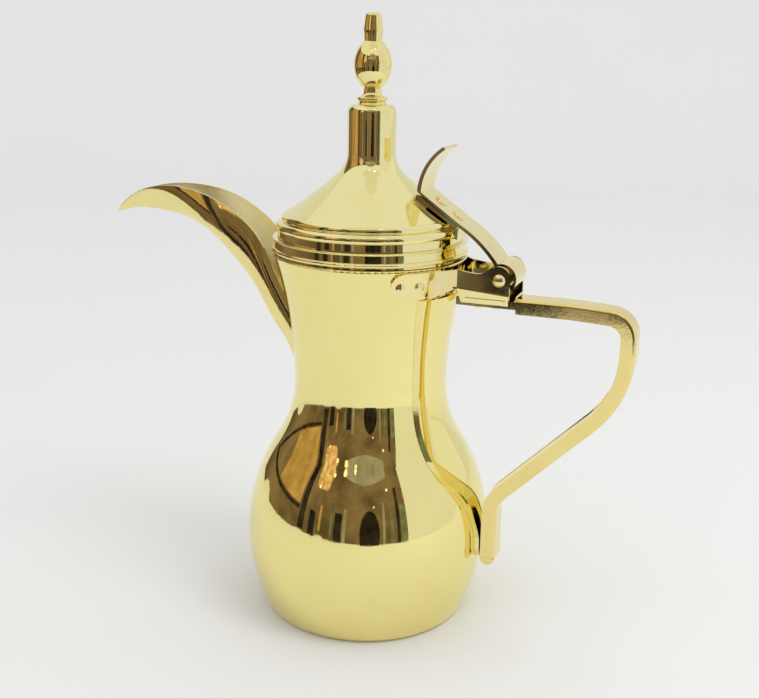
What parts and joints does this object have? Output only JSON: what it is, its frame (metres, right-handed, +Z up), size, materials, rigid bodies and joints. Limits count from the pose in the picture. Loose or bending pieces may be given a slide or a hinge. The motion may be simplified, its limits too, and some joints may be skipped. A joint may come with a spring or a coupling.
{
  "type": "dallah coffee pot",
  "caption": "Long-beaked brass coffee pot with a waisted body, channel handle on a shield plate, and a hinged conical lid with finial and thumb lever.",
  "frame": {"origin": "centre of the flat base, on the vessel's axis", "axes": "+Z up along the vessel's axis, +X towards the handle, -X towards the spout, XZ the plane of symmetry"},
  "size_m": [0.2671, 0.1188, 0.29],
  "materials": {
    "polished_brass": "mirror polished pale gold plate",
    "spout_brass": "mirror polished pale gold plate",
    "handle_brass": "polished gold plate, softly buffed",
    "fitting_brass": "polished gold plate on stamped sheet",
    "rivet_brass": "polished rivet heads",
    "lid_brass": "mirror polished pale gold plate",
    "finial_brass": "turned and polished gold plate",
    "steel": "plain zinc-plated fixing"
  },
  "bodies": {
    "pot": {"body_shell": "polished_brass", "base_disc": "polished_brass", "spout": "spout_brass", "back_plate": "handle_brass", "handle_channel": "handle_brass", "handle_strip": "handle_brass", "handle_end_cap": "handle_brass", "handle_tang": "handle_brass", "tang_rivets": "rivet_brass", "cheek_near": "fitting_brass", "cheek_far": "fitting_brass", "ear_rivets": "rivet_brass", "hinge_cradle": "fitting_brass", "hinge_pin": "rivet_brass", "hinge_spacers": "fitting_brass"},
    "lid": {"lid_dome": "lid_brass", "lid_rim": "lid_brass", "lid_plug": "lid_brass", "lever_seat": "fitting_brass", "thumb_lever": "fitting_brass", "lever_rivets": "rivet_brass", "finial_flange": "finial_brass", "finial_egg": "finial_brass", "finial_spire": "finial_brass", "finial_stud": "steel", "finial_washer": "steel", "finial_nut": "steel"}
  },
  "joints": [
    {"name": "lid_hinge", "type": "hinge", "parent": "pot", "child": "lid", "pos_m": [0.067, 0, 0.1754], "axis": [0, 1, 0], "range_deg": [0, 105]}
  ]
}
